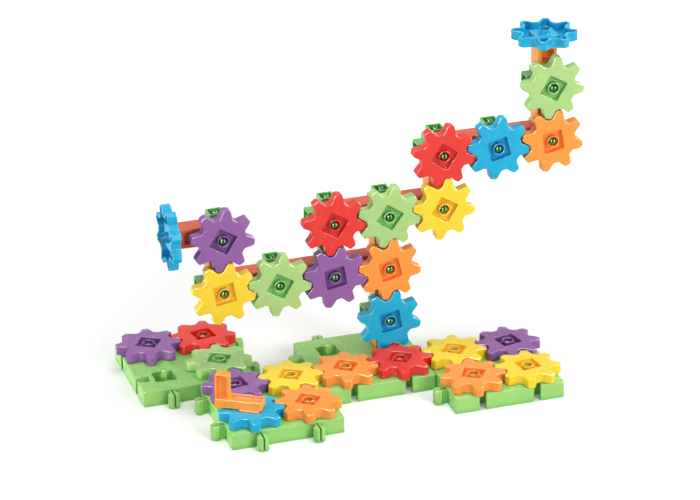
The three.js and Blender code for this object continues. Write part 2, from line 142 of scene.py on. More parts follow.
def colour(name, value):
    """A plastic's colour, given as sRGB hex."""
    return bpy.props.FloatVectorProperty(
        name=name, description=f"Colour of the {name.lower()} plastic", default=linear(value), size=3, subtype="COLOR"
    )


class GearSettings(bpy.types.PropertyGroup):
    teeth: bpy.props.IntProperty(name="Teeth", description="Teeth on every gear", default=8, min=4, max=24)
    tip_reach: size("Tip reach", "Gear centre to the tip of a tooth", 32.15)
    tip_width: size("Tip width", "Width of the flat end of a tooth", 6)
    tip_round: size("Tip round", "Radius of the corners of a tooth's end", 1.8)
    shoulder_reach: size("Shoulder reach", "Gear centre to a tooth's shoulders, along its middle", 29.5)
    shoulder_width: size("Shoulder width", "Width of a tooth at its shoulders", 8.6)
    shoulder_round: size("Shoulder round", "Radius of a tooth's shoulders", 2)
    root_reach: size("Root reach", "Gear centre to the foot of a flank, along its tooth", 22.6)
    root_width: size("Root width", "Width of a tooth at its foot", 12.8)
    root_round: size("Root round", "Radius where a flank runs into the valley", 3)
    tip_drop: size("Tip drop", "How far the face has fallen at a tooth tip", 1)
    edge_round: size("Edge round", "Radius along the edge of the face", 0.9)
    back_round: size("Back round", "Radius along the edge of the back", 0.35)
    thickness: size("Thickness", "Face to back", 10.2)
    wall: size("Wall", "Wall of the hollow back", 2)
    seat_width: size("Seat width", "Inner width of the square seat", 20.6)
    seat_depth: size("Seat depth", "Face to the floor of the seat", 5.5)
    seat_floor: size("Seat floor", "Wall under the seat", 1.4)
    seat_round: size("Seat round", "Radius of the seat's corners", 1)
    ring_radius: size("Ring radius", "Outer radius of the ring in the seat", 6)
    bore_radius: size("Bore radius", "Radius of the hole for the peg", 5)
    column_radius: size("Column radius", "Outer radius of the column behind the seat", 5.5)
    column_reach: size("Column reach", "How far the column stands out of the back", 1.9)
    seat_wall: size("Seat wall", "Wall of the block round the seat", 1.6)
    lip: size("Lip", "Radius along the rims of the seat", 0.45)


class HubSettings(bpy.types.PropertyGroup):
    arm_width: size("Arm width", "Outer width of a square arm", 15.6)
    arm_reach: size("Arm reach", "Hub centre to the end of an arm", 20.8)
    arm_wall: size("Arm wall", "Wall of a square arm", 1.8)
    arm_depth: size("Arm depth", "Depth of the hollow in an arm", 11)
    edge_round: size("Edge round", "Radius along the edges of an arm", 0.9)
    peg_radius: size("Peg radius", "Radius of a split peg", 2.7)
    peg_slot: size("Peg slot", "Slot between the two halves of a peg", 1.3)
    peg_proud: size("Peg proud", "How far a peg that holds a gear stands out of its arm", 6.8)
    collar_radius: size("Collar radius", "Radius of the collar round a split peg's foot", 4.3)
    collar_drop: size("Collar drop", "Top of a peg above the end of its collar", 8.2)


class PillarSettings(bpy.types.PropertyGroup):
    width: size("Width", "Side of the square pillar under the lowest hub", 20)
    start: size("Start", "Hub centre to the end of a pillar", 10.3)
    edge_round: size("Edge round", "Radius along the edges", 1.1)
    socket_width: size("Socket width", "Inner width of an end socket", 16.2)
    socket_depth: size("Socket depth", "Depth of an end socket", 10.8)
    pocket_width: size("Pocket width", "Width of the pocket in the front and back", 12.4)
    pocket_depth: size("Pocket depth", "Depth of the pocket", 8.8)
    end_wall: size("End wall", "Wall between a socket and the pocket", 1.4)
    draft: size("Draft", "How far the pocket's walls lean in by its floor", 0.35)
    lip: size("Lip", "Radius along the rims of sockets and pockets", 0.5)
    socket_round: size("Socket round", "Radius of a socket's upright corners", 0.3)


class PlateSettings(bpy.types.PropertyGroup):
    pitch: size("Pitch", "Distance between two sockets", 56)
    side: size("Side", "Side of a plate without its tabs", 111.7)
    height: size("Height", "Foot to top", 16.6)
    wall: size("Wall", "Outer wall", 2.2)
    top: size("Top", "Thickness of the top", 2.6)
    edge_round: size("Edge round", "Radius along the top edge", 1.1)
    corner_round: size("Corner round", "Radius of the upright corners", 1.8)
    well_width: size("Well width", "Inner width of a square socket", 20.6)
    well_floor: size("Well floor", "Height of a socket's floor", 6)
    cup_wall: size("Cup wall", "Wall of the cup under a socket", 1.8)
    post_radius: size("Post radius", "Radius of the split post in a socket", 3.1)
    peg_slot: size("Post slot", "Slot between the two halves of a post", 1.3)
    post_top: size("Post top", "Height of the top of a post", 24.6)
    lip: size("Lip", "Radius along the rims of sockets and of a notch's corners", 0.5)
    well_round: size("Well round", "Radius of the upright corners of sockets and of a notch's end", 1.2)
    foot_round: size("Foot round", "Radius of the upright corners of the foot and of the inner wall", 0.8)
    foot_width: size("Foot width", "Width of the foot under the middle", 14)
    tab_neck: size("Tab neck", "Width of a snap tab up to its head", 6)
    tab_head: size("Tab head", "Widest part of a snap tab", 11)
    tab_reach: size("Tab reach", "How far a snap tab stands out", 12.6)
    tab_nose: size("Tab nose", "Length of a snap tab's narrowing end", 3)
    tab_barb: size("Tab barb", "Length over which a snap tab widens from its neck to its head", 1.6)
    tab_slot: size("Tab slot", "Slot that lets a snap tab spring", 1.3)
    tab_round: size("Tab round", "Radius along the top edge of a snap tab", 0.6)
    tab_height: size("Tab height", "Height of a snap tab", 14.7)
    notch_depth: size("Notch depth", "Depth of a notch in the plate's edge", 13.3)
    notch_gap: size("Notch gap", "Room beside a tab in its notch", 0.4)
    joint_gap: size("Joint gap", "Gap between two plates that are clipped together", 0.3)


class CrankSettings(bpy.types.PropertyGroup):
    radius: size("Radius", "Gear centre to the middle of the grip", 28)
    arm_width: size("Arm width", "Width of the flat arm", 16)
    arm_height: size("Arm height", "Height of the flat arm", 9)
    tail: size("Tail", "Arm beyond the gear centre", 11.9)
    clear: size("Clearance", "Arm above the gear's face", 0.6)
    grip_width: size("Grip width", "Width of the grip along the arm", 13.8)
    grip_depth: size("Grip depth", "Thickness of the grip across the arm", 9.4)
    grip_rise: size("Grip rise", "Top of the grip above the arm", 24.6)
    rim: size("Rim", "Rim round the hollows", 2)
    pocket: size("Pocket", "Depth of the hollows in the arm's top and the grip's sides", 3.4)
    end_round: size("End round", "Radius of the arm's upright corners", 2.6)
    grip_round: size("Grip round", "Radius of the grip's corners", 1.8)
    edge_round: size("Edge round", "Radius along the arm's edges", 0.9)
    pocket_round: size("Pocket round", "Radius along the rims of the hollows", 0.63)
    plug_width: size("Plug width", "Width of the plug in the gear's seat", 20)
    plug_bore: size("Plug bore", "Width of the hollow in the plug", 13.6)
    plug_depth: size("Plug depth", "How far the plug reaches into the seat", 5.2)
    plug_round: size("Plug round", "Radius along the plug's rims, half that of its upright corners", 0.6)


class ColourSettings(bpy.types.PropertyGroup):
    plate: colour("Plate", 0x97CD71)
    hub: colour("Hub", 0x66BC58)
    green: colour("Green", 0xA6CC7C)
    purple: colour("Purple", 0x8C5A9C)
    red: colour("Red", 0xDE352C)
    yellow: colour("Yellow", 0xEFCF30)
    orange: colour("Orange", 0xF2953A)
    blue: colour("Blue", 0x10A6CE)
    pillar: colour("Pillar", 0xF28E34)
    beam: colour("Beam", 0xDC5C38)
    crank: colour("Crank", 0xF59A35)


class StageSettings(bpy.types.PropertyGroup):
    floor_size: size("Floor size", "Side of the floor", 9000)
    key: power("Key", "Power of the key light", 37)
    top: power("Top", "Power of the light overhead", 26)
    fill: power("Fill", "Power of the fill light", 9)
    side: power("Side", "Power of the light that grazes the left sides", 38)
    sparkle: bpy.props.FloatProperty(
        name="Sparkle", description="Power per square metre of the strips that show in the gloss alone", default=450
    )
    sky: bpy.props.FloatProperty(name="Sky", description="Strength of the light from all round", default=0.4)
    spot: bpy.props.FloatVectorProperty(
        name="Camera place",
        description="Where the camera stands",
        default=(-0.98935, -3.04598, 1.63117),
        subtype="XYZ",
    )
    azimuth: turned("Azimuth", "Turn of the view round the upright axis", -17.77)
    elevation: turned("Elevation", "How far the camera looks down", 25.052)
    roll: turned("Roll", "Turn of the picture", -0.657)
    lens: bpy.props.FloatProperty(name="Lens", description="Focal length in millimetres", default=187.58)
    sight: size("Sight", "How far the camera sees", 50000)


# Outlines and the surfaces carried along them


def rounded(corners, radii, steps=3, flats=1):
    """A closed outline whose corners are arcs that meet both their sides without a kink.
    An arc starts at radius x tan(turn / 2) before its corner and turns evenly to the next side's direction.
    Each side is cut into equal flats. Runs anticlockwise, and returns one row of x, y for each point."""
    corners = np.asarray(corners, float)
    ahead = np.roll(corners, -1, 0) - corners
    ahead /= np.linalg.norm(ahead, axis=1, keepdims=True)
    before = np.roll(ahead, 1, 0)
    cross = before[:, 0] * ahead[:, 1] - before[:, 1] * ahead[:, 0]
    turn = np.arctan2(cross, (before * ahead).sum(1))
    side = np.sign(turn)
    radius = np.broadcast_to(radii, turn.shape) * side
    left = np.stack([-before[:, 1], before[:, 0]], 1)
    start = corners - before * (radius * np.tan(turn / 2))[:, None]
    centre = start + left * radius[:, None]
    angle = turn[:, None] * np.linspace(0, 1, steps + 1)
    spoke = (start - centre)[:, None]
    crossed = np.stack([-spoke[..., 1], spoke[..., 0]], -1)
    arcs = centre[:, None] + spoke * np.cos(angle)[..., None] + crossed * np.sin(angle)[..., None]
    following = np.roll(arcs[:, :1], -1, 0)
    share = np.linspace(0, 1, flats + 1)[1:-1, None]
    between = arcs[:, -1:] * (1 - share) + following * share
    return np.concatenate([arcs, between], 1).reshape(-1, 2)


def shrunk(corners, inset):
    """The corners moved in so that every side lies inset further in, along the sum of both sides' normals."""
    corners = np.asarray(corners, float)
    ahead = np.roll(corners, -1, 0) - corners
    ahead /= np.linalg.norm(ahead, axis=1, keepdims=True)
    before = np.roll(ahead, 1, 0)
    outward = np.stack([ahead[:, 1] + before[:, 1], -ahead[:, 0] - before[:, 0]], 1)
    return corners - inset * outward / (1 + (ahead * before).sum(1, keepdims=True))


def inset_outline(corners, radii, inset, steps=3, flats=1, least=0.25 * MM):
    """The rounded outline drawn further in: an outer corner's radius shrinks by the inset, down to the least, and an
    inner one's grows."""
    corners = np.asarray(corners, float)
    ahead = np.roll(corners, -1, 0) - corners
    before = np.roll(ahead, 1, 0)
    outer = np.sign(before[:, 0] * ahead[:, 1] - before[:, 1] * ahead[:, 0])
    return rounded(shrunk(corners, inset), np.maximum(radii - inset * outer, least), steps, flats)


def square(width):
    """The corners of a square round the origin, anticlockwise."""
    half = width / 2
    return np.array([[half, -half], [half, half], [-half, half], [-half, -half]])


def bent(points, radii, steps=3):
    """An open profile whose inner corners are arcs, as in rounded. The ends stay where they are."""
    points = np.asarray(points, float)
    radii = np.concatenate([[0], np.broadcast_to(radii, len(points) - 2), [0]])
    arcs = rounded(points, np.maximum(radii, SHARP), steps).reshape(len(points), -1, 2)
    return np.concatenate([points[:1], arcs[1:-1].reshape(-1, 2), points[-1:]])


def quarter_turned(points, turns):
    """Rows of x, y turned anticlockwise by whole quarter turns."""
    c, s = ((1, 0), (0, 1), (-1, 0), (0, -1))[turns]
    return points @ np.array([[c, s], [-s, c]])


def level(outline, height):
    """An outline laid at a height, or at one height for each point."""
    return np.column_stack([outline, np.broadcast_to(height, len(outline))])


def carried(rows, closed=False, caps=(None, None)):
    """The surface through rows of points: a quad joins points i and i + 1 of two rows that follow each other.
    Closed joins the last row to the first. A cap closes an end: a point as a fan, 'face' as one flat face."""
    rows = np.asarray(rows, float)
    count, around = rows.shape[:2]
    index = np.arange(count * around).reshape(count, around)
    lower = index if closed else index[:-1]
    upper = np.roll(index, -1, 0)[: len(lower)]
    quads = np.stack([lower, np.roll(lower, -1, 1), np.roll(upper, -1, 1), upper], -1).reshape(-1, 4)
    vertices = [rows.reshape(-1, 3)]
    faces = [quads]
    extra = count * around
    for cap, edge in zip(caps, (index[0], index[-1])):
        if isinstance(cap, str):
            faces.append(edge[None])
        elif cap is not None:
            vertices.append(np.asarray(cap, float)[None])
            faces.append(np.stack([edge, np.roll(edge, -1), np.full(around, extra)], -1))
            extra += 1
    return np.concatenate(vertices), faces


def spun(axis, angle=QUARTER):
    """A turn about an axis, by a quarter unless the angle is given."""
    return Matrix.Rotation(angle, 4, axis)


def placed(shell, matrix):
    """The shell with every point multiplied by the matrix."""
    vertices, faces = shell
    matrix = np.array(matrix)
    return vertices @ matrix[:3, :3].T + matrix[:3, 3], faces


def courses(corners, radii, profile, **counts):
    """Rows of points: the outline at each inset and height of the profile in turn."""
    return [level(inset_outline(corners, radii, inset, **counts), height) for inset, height in profile]


def capped(corners, radii, profile, **counts):
    """A solid of courses between two flat faces."""
    return carried(courses(corners, radii, profile, **counts), caps=("face", "face"))


def prong(radius, slot, bottom, top, arc_steps=16, chord_steps=6, dome_steps=7):
    """Half of a split peg, a D in section: an arc of the radius, closed by a chord half a slot from the axis.
    The section shrinks towards its middle as a quarter ellipse, half as high as it is wide, at the top."""
    reach = math.acos(slot / 2 / radius)
    angle = np.linspace(-reach, reach, arc_steps + 1)
    arc = np.stack([radius * np.cos(angle), radius * np.sin(angle)], 1)
    share = np.linspace(0, 1, chord_steps + 1)[1:-1, None]
    section = np.concatenate([arc, arc[-1:] * (1 - share) + arc[:1] * share])
    middle = np.array([(radius + slot / 2) / 2, 0])
    lift = np.linspace(0, QUARTER, dome_steps + 1)[:-1]
    scales = np.concatenate([[1], np.cos(lift)])
    heights = np.concatenate([[bottom], top - radius / 2 * (1 - np.sin(lift))])
    rows = [level(middle + (section - middle) * scale, height) for scale, height in zip(scales, heights)]
    return carried(rows, caps=([*middle, bottom], [*middle, top]))


def split_peg(radius, slot, bottom, top):
    """Two prongs on Z, half a turn apart."""
    one = prong(radius, slot, bottom, top)
    return [one, placed(one, spun("Z", math.pi))]


def rod(radius, bottom, top, edge=0.5 * MM, steps=24):
    """A round rod on Z: a circle carried up a profile whose top edge is an arc."""
    angle = np.linspace(0, 2 * math.pi, steps + 1)[:-1]
    ring = np.stack([np.cos(angle), np.sin(angle)], 1)
    profile = bent([(radius, bottom), (radius, top), (radius - 2 * edge, top)], edge)[:-1]
    rows = [level(ring * width, height) for width, height in profile]
    return carried(rows, caps=("face", "face"))


def gear_corners(sizes):
    """The outline's corners and their radii, six a tooth: two at its end, two shoulders and two feet. Each lies at a
    reach along the tooth's middle line and half a width beside it, with a tooth in the middle of every step."""
    beside = np.array([sizes.root_width, sizes.shoulder_width, sizes.tip_width]) / 2
    reach = np.array([sizes.root_reach, sizes.shoulder_reach, sizes.tip_reach])
    radii = np.array([sizes.root_round, sizes.shoulder_round, sizes.tip_round])
    reach, beside = np.concatenate([reach, reach[::-1]]), np.concatenate([-beside, beside[::-1]])
    middle = (np.arange(sizes.teeth)[:, None] + 0.5) * 2 * math.pi / sizes.teeth
    x = reach * np.cos(middle) - beside * np.sin(middle)
    y = reach * np.sin(middle) + beside * np.cos(middle)
    return np.stack([x, y], -1).reshape(-1, 2), np.tile(np.concatenate([radii, radii[::-1]]), sizes.teeth)


def face_drop(points, sizes, soft=0.18):
    """How far the gear's face has fallen: nothing up to the foot of a tooth, then along its middle line in a soft
    bend, sqrt(u u + soft soft) - soft, that reaches the full drop at the tip, where u is 1."""
    step = 2 * math.pi / sizes.teeth
    angle = np.arctan2(points[:, 1], points[:, 0]) % step - step / 2
    out = np.hypot(points[:, 0], points[:, 1]) * np.cos(angle)
    share = np.clip((out - sizes.root_reach) / (sizes.tip_reach - sizes.root_reach), 0, None)
    return -sizes.tip_drop * (np.hypot(share, soft) - soft) / (math.hypot(1, soft) - soft)


FACE_ROWS = 7  # rows across a gear's face between the seat and the toothed edge
BACK_ROWS = 6  # rows across the ceiling of its hollow back


def gear_shell(sizes):
    """One gear on Z with its face at zero: a ring of rows from the column through the bore, the ring, the seat, the
    face, the toothed edge and the hollow back to the column again. Circles and squares take the angle of each
    outline point, so a circle's row is radius x (cos, sin) and a square's is where that ray meets the square."""
    corners, radii = gear_corners(sizes)

    def teeth(inset):
        return inset_outline(corners, radii, inset, steps=4, flats=2)

    outline = teeth(0)
    angle = np.arctan2(outline[:, 1], outline[:, 0])
    ray = np.stack([np.cos(angle), np.sin(angle)], 1)
    corner = sizes.seat_round

    def seat(half):
        large = np.abs(ray).max(1)
        small = np.abs(ray).min(1)
        middle = half - corner
        along = middle * (large + small)
        arc = along + np.sqrt(np.maximum(along**2 - 2 * middle**2 + corner**2, 0))
        distance = np.where(small * half <= middle * large, half / large, arc)
        return ray * distance[:, None]

    back = -sizes.thickness
    seat_floor = -sizes.seat_depth
    block_bottom = seat_floor - sizes.seat_floor
    column = sizes.column_radius
    column_end = back - sizes.column_reach
    half = sizes.seat_width / 2
    lip = sizes.lip
    rim = half + 3 * lip  # where the seat's rounded rim has run out into the face
    ceiling = -sizes.wall
    profile = [
        (column, block_bottom),
        (column, column_end),
        (sizes.bore_radius, column_end),
        (sizes.bore_radius, 0),
        (sizes.ring_radius, 0),
        (sizes.ring_radius, seat_floor),
    ]
    rows = [level(ray * radius, height) for radius, height in bent(profile, [lip / 2, lip / 2, lip, lip])]
    wall = bent([(half, seat_floor), (half, 0), (rim, 0)], lip)
    rows += [level(seat(width), height) for width, height in wall]
    inner, outer = seat(rim), teeth(2 * sizes.edge_round)
    for share in np.linspace(0, 1, FACE_ROWS + 2)[1:-1]:
        points = inner * (1 - share) + outer * share
        rows.append(level(points, face_drop(points, sizes)))
    edge = bent([(2 * sizes.edge_round, 0), (0, 0), (0, back / 2)], sizes.edge_round, steps=4)
    for inset, height in edge[:-1]:
        points = teeth(inset)
        rows.append(level(points, height + face_drop(outline, sizes)))
    foot = bent([(0, back / 2), (0, back), (sizes.wall, back), (sizes.wall, ceiling)], sizes.back_round)
    rows += [level(teeth(inset), height) for inset, height in foot[1:-1]]
    inside, under = teeth(sizes.wall), seat(half + sizes.seat_wall)
    for share in np.linspace(0, 1, BACK_ROWS):
        points = inside * (1 - share) + under * share
        rows.append(level(points, ceiling + face_drop(points, sizes)))
    rows.append(level(under, block_bottom))
    return carried(rows, closed=True)


ARM_TURNS = {
    "up": Matrix.Identity(4),
    "down": spun("X", math.pi),
    "front": spun("X"),
    "back": spun("X", -QUARTER),
    "right": spun("Y"),
    "left": spun("Y", -QUARTER),
}


def hub_shells(sizes, proud):
    """Six square arms that meet on the planes where two coordinates are equal, so that an arm's first row lies at
    the larger of |x| and |y|. Each arm ends in a rounded rim round a hollow with a split peg in it. The pegs that
    stand proud hold a gear and have a collar."""
    half, wall, end = sizes.arm_width / 2, sizes.arm_wall, sizes.arm_reach
    corner = sizes.edge_round
    floor = end - sizes.arm_depth
    profile = bent([(0, half), (0, end), (wall, end), (wall, floor)], corner / 2)
    rows = courses(square(sizes.arm_width), corner, profile, steps=4, flats=4)
    rows[0][:, 2] = np.abs(rows[0][:, :2]).max(1)
    arm = carried(rows, caps=(None, (0, 0, floor)))
    shells = []
    for direction, turn in ARM_TURNS.items():
        top = end + (sizes.peg_proud if direction in proud else 0)
        peg = split_peg(sizes.peg_radius, sizes.peg_slot, floor - wall / 2, top)
        shells += [placed(shell, turn) for shell in (arm, *peg)]
        if direction in proud:
            shells.append(placed(rod(sizes.collar_radius, floor, top - sizes.collar_drop), turn))
    return shells


def pillar_shell(sizes, width, length):
    """A square pillar on Z round the origin. Its rows run from one socket's floor out over the rim, along the four
    sides and into the other socket. On the front and back a point sinks by the lesser of two depths, one from the
    pocket's profile across and one from its profile along."""
    corner, lip = sizes.edge_round, sizes.lip
    half = width / 2
    straight = half - corner
    reach = length / 2
    floor = reach - sizes.socket_depth
    pocket_reach = floor - sizes.end_wall

    def dip(edge):
        """The pocket's profile from one edge to the other: a rounded lip, a leaning wall and a flat floor."""
        foot = -edge + sizes.draft
        corners = [(-edge - 2 * lip, 0), (-edge, 0), (foot, -sizes.pocket_depth), (0, -sizes.pocket_depth)]
        path = bent(corners, lip)[:-1]
        return np.concatenate([path, path[::-1] * [-1, 1]])

    across, along = dip(sizes.pocket_width / 2), dip(pocket_reach)

    def outline(edge, rounding):
        """A square with round corners, whose sides have the points of the profile across."""
        flat = across[:, 0] / straight * (edge - rounding)
        side = np.stack([np.full(len(flat), edge), flat], 1)
        arc = rounded(square(2 * edge), rounding).reshape(4, 4, 2)
        return np.concatenate(
            [part for turn in range(4) for part in (quarter_turned(side, turn), arc[(turn + 1) % 4])]
        )

    outer = outline(half, corner)
    sink = np.zeros(len(outer))
    run = len(outer) // 4
    for turn in (1, 3):
        sink[turn * run : turn * run + len(across)] = -across[:, 1]
    inward = -np.sign(outer[:, 1])
    wall = half - sizes.socket_width / 2
    profile = bent([(wall, floor), (wall, reach), (0, reach), (0, pocket_reach + 2 * lip)], lip)[:-1]
    least = sizes.socket_round
    ends = [level(outline(half - inset, max(corner - inset, least)), height) for inset, height in profile]
    rows = [row * [1, 1, -1] for row in ends]
    for place, depth in along:
        row = level(outer, place)
        row[:, 1] += inward * np.minimum(sink, -depth)
        rows.append(row)
    rows += ends[::-1]
    return carried(rows, caps=((0, 0, -floor), (0, 0, floor)))


def filled(loops, height):
    """One flat face at a height between an outer outline and the holes in it, cut into triangles."""
    points = np.concatenate(loops)
    triangles = tessellate_polygon([[Vector((*point, 0)) for point in loop] for loop in loops])
    return level(points, height), [np.array(triangles)]


def around(corners_of_side, kinds):
    """The corners of all four sides of a plate, anticlockwise, each a quarter turn on from the one before."""
    return np.concatenate([quarter_turned(np.array(corners_of_side(kind)), turn) for turn, kind in enumerate(kinds)])


def plate_shells(sizes, tabs):
    """One plate on Z with its foot at zero. Its faces are filled between outlines, and its walls are carried down
    the same outlines, so that merged points close it. Sides with tabs are plain, the others have two notches."""
    half = sizes.side / 2
    inner_half = half - sizes.wall
    places = (-sizes.pitch / 2, sizes.pitch / 2)
    head = sizes.tab_head / 2 + sizes.notch_gap
    head_at = sizes.tab_reach / 2 - sizes.joint_gap
    mouth = sizes.tab_neck / 2 + sizes.notch_gap
    pad = head + sizes.wall
    pad_end = inner_half - sizes.notch_depth
    top, under_top = sizes.height, sizes.height - sizes.top
    lip, soft = sizes.lip, sizes.well_round

    def outer_side(plain):
        """The corners of one side from its upright corner on, in and out of each notch."""
        points = [(half, -half)]
        for place in () if plain else places:
            notch = [(0, mouth), (head_at - sizes.tab_barb, mouth), (head_at, head), (sizes.notch_depth, head)]
            points += [(half - depth, place - across) for depth, across in notch]
            points += [(half - depth, place + across) for depth, across in notch[::-1]]
        return points

    def outer_radii(plain):
        notch = [lip, lip, lip, soft]
        return [sizes.corner_round] + ([] if plain else (notch + notch[::-1]) * len(places))

    def inner_side(plain):
        """The same for the inner wall, which keeps the wall's width off each notch."""
        points = [(inner_half, -inner_half)]
        for place in () if plain else places:
            points += [(inner_half, place - pad), (pad_end, place - pad)]
            points += [(pad_end, place + pad), (inner_half, place + pad)]
        return points

    kinds = [side in tabs for side in SIDES]
    corners = around(outer_side, kinds)
    radii = np.concatenate([outer_radii(kind) for kind in kinds])
    edge = sizes.edge_round
    rows = courses(corners, radii, bent([(2 * edge, top), (0, top), (0, 0)], edge, steps=4)[1:], steps=4)
    inner = rounded(around(inner_side, kinds), sizes.foot_round, steps=2)
    shells = [
        carried(rows),
        filled([rows[-1][:, :2], inner], 0),
        carried([level(inner, 0), level(inner, under_top)]),
    ]
    well, well_floor = sizes.well_width / 2, sizes.well_floor
    profile = bent([(-3 * lip, top), (0, top), (0, well_floor), (well, well_floor)], [lip, lip / 2])[1:-1]
    outlines = courses(square(2 * well), soft, profile, steps=4)
    cup_bottom = max(well_floor - sizes.cup_wall, FLOOR_GAP)
    wells, cups = [], []
    for x, y in itertools.product(places, repeat=2):
        sunk = [outline + [x, y, 0] for outline in outlines]
        wells.append(sunk[0][:, :2])
        shells.append(carried(sunk, caps=(None, (x, y, well_floor))))
        cup = rounded(square(2 * (well + sizes.cup_wall)), soft, steps=2) + [x, y]
        cups.append(cup)
        shells.append(carried([level(cup, under_top), level(cup, cup_bottom)], caps=(None, (x, y, cup_bottom))))
    return shells + [filled([rows[0][:, :2], *wells], top), filled([inner, *cups], under_top)]


# Radii of half a snap tab's corners, from the slot at its root round the tip and back along its neck
TAB_RADII = np.array([0.1, 0.4, 0.6, 0.9, 0.7, 0.4, 0.1]) * MM


def plate_fittings(sizes, tabs):
    """The snap tabs, each split in two, the split posts in the sockets and the foot under the middle."""
    half = sizes.side / 2
    places = (-sizes.pitch / 2, sizes.pitch / 2)
    slot, neck, head = sizes.tab_slot / 2, sizes.tab_neck / 2, sizes.tab_head / 2
    reach, root = sizes.tab_reach, sizes.wall / 2
    shoulder = reach - sizes.tab_nose
    barb = reach / 2 - sizes.tab_barb
    corners = [(-root, slot), (reach, slot), (reach, neck), (shoulder, head), (reach / 2, head), (barb, neck)]
    corners.append((-root, neck))
    edge, high = sizes.tab_round, sizes.tab_height
    profile = bent([(2 * edge, high), (0, high), (0, FLOOR_GAP)], edge)[1:]
    shells = []
    for flip in (1, -1):
        half_tab = capped(np.array(corners[::flip]) * [1, flip], TAB_RADII[::flip], profile)
        for turn, side in enumerate(SIDES):
            for place in places if side in tabs else ():
                spot = spun("Z", turn * QUARTER) @ Matrix.Translation((half, place, 0))
                shells.append(placed(half_tab, spot))
    post = split_peg(sizes.post_radius, sizes.peg_slot, sizes.well_floor - root, sizes.post_top)
    for x, y in itertools.product(places, repeat=2):
        spot = Matrix.Translation((x, y, 0)) @ spun("Z")
        shells += [placed(shell, spot) for shell in post]
    foot = [(0, FLOOR_GAP), (0, sizes.height - sizes.top / 2)]
    shells.append(capped(square(sizes.foot_width), sizes.foot_round, foot))
    return shells


def crank_shells(sizes):
    """The crank with its gear's face at zero and its grip towards -X: a flat arm with a trough in its top, a grip that
    stands on its end and is open at the front and back, and a square plug under it. Each is its outline drawn at
    every inset and height of one profile."""
    edge, rim, inner_edge = sizes.edge_round, sizes.rim, sizes.pocket_round
    low = sizes.clear
    top = low + sizes.arm_height
    left = -sizes.radius - sizes.grip_width / 2
    right = left + sizes.grip_width
    side = sizes.arm_width / 2

    def block(x0, x1, y0, y1):
        return np.array([(x1, y0), (x1, y1), (x0, y1), (x0, y0)])

    outside = block(left, sizes.tail, -side, side)
    upper = bent([(2 * edge, low), (0, low), (0, top), (2 * edge, top)], edge, steps=4)
    rows = courses(outside, sizes.end_round, upper[:-1], steps=5)
    trough = block(right + rim, sizes.tail - rim, rim - side, side - rim)
    sunk = top - sizes.pocket
    down = bent([(-2 * edge, top), (0, top), (0, sunk), (rim, sunk)], inner_edge)[1:-1]
    hollow = courses(trough, sizes.end_round / 2, down, steps=5)
    half = sizes.grip_depth / 2
    floor = half - sizes.pocket
    grip = block(left, right, low + edge, top + sizes.grip_rise)
    path = [(rim, floor), (rim, half), (0, half), (0, -half), (rim, -half), (rim, -floor)]
    standing = capped(grip, sizes.grip_round, bent(path, inner_edge), steps=5)
    bore = (sizes.plug_width - sizes.plug_bore) / 2
    foot, head = -sizes.plug_depth, low + edge
    section = bent([(bore, low), (bore, foot), (0, foot), (0, head), (bore, head)], sizes.plug_round)
    return [
        carried(rows, caps=("face", None)),
        filled([rows[-1][:, :2], hollow[0][:, :2]], top),
        carried(hollow, caps=(None, "face")),
        placed(standing, spun("X")),
        capped(square(sizes.plug_width), 2 * sizes.plug_round, section, steps=4),
    ]


# Meshes and where they stand


def mesh_of(name, shells):
    """One mesh from shells, with touching points merged, faces turned outward and smooth up to the crease."""
    data = bpy.data.meshes.new(name)
    vertices, faces, first = [], [], 0
    for points, blocks in shells:
        vertices.append(np.asarray(points, float))
        for block in blocks:
            faces += (np.asarray(block) + first).tolist()
        first += len(points)
    data.from_pydata(np.concatenate(vertices), [], faces)
    solid = bmesh.new()
    solid.from_mesh(data)
    bmesh.ops.remove_doubles(solid, verts=solid.verts, dist=MERGE)
    bmesh.ops.recalc_face_normals(solid, faces=solid.faces)
    solid.to_mesh(data)
    solid.free()
    data.polygons.foreach_set("use_smooth", np.ones(len(data.polygons), bool))
    data.set_sharp_from_angle(angle=CREASE)
    return data


def in_scene(name, data):
    """A new object in the scene, at the origin."""
    thing = bpy.data.objects.new(name, data)
    bpy.context.scene.collection.objects.link(thing)
    return thing


def dress(name, data, place, node, material, stands_for=True):
    """A finished piece: a copy of the mesh moved to its place, carried by the node's body, in its own plastic."""
    data = data.copy()
    data.name = name
    data.transform(place)
    data.materials.append(material)
    piece = in_scene(name, data)
    weighted = piece.modifiers.new("Even shading", "WEIGHTED_NORMAL")
    weighted.keep_sharp = True
    weighted.weight = 60
    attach(piece, BODY_OF[node])
    if stands_for:
        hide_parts(node)
    return piece


def box_of(node):
    """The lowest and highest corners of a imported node, and the middle between them."""
    low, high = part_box(node)
    return low, high, (low + high) / 2


def gear_place(node):
    """Where a gear's axis stands and how it is turned: flat gears face up, upright ones the front."""
    low, high, middle = box_of(node)
    angle = 0
    if node in SEAT_TURNS:
        halves = SEAT_TURNS[node]
        angle = halves * math.pi / bpy.context.scene.toy_gear.teeth + (-TRAIN_TURN if halves % 2 else TRAIN_TURN)
    turn = spun("Z", angle)
    if node.startswith("base"):
        return Matrix.Translation((middle.x, middle.y, high.z)) @ turn
    if node.startswith("wall"):
        return Matrix.Translation((middle.x, low.y, middle.z)) @ spun("X") @ turn
    if "top" in node:
        return Matrix.Translation((middle.x, middle.y, low.z)) @ spun("X", math.pi)
    return Matrix.Translation((high.x, middle.y, middle.z)) @ spun("Y")


# Plastics


def add_node(tree, kind, links=(), **values):
    """A shader node of the kind, with its settings or the defaults of its named inputs, and with links from other
    nodes' outputs to inputs that are given by name or number."""
    node = tree.nodes.new(f"ShaderNode{kind}")
    for name, value in values.items():
        if hasattr(node, name):
            setattr(node, name, value)
        else:
            node.inputs[name.replace("_", " ")].default_value = value
    for name, source in dict(links).items():
        tree.links.new(source, node.inputs[name])
    return node


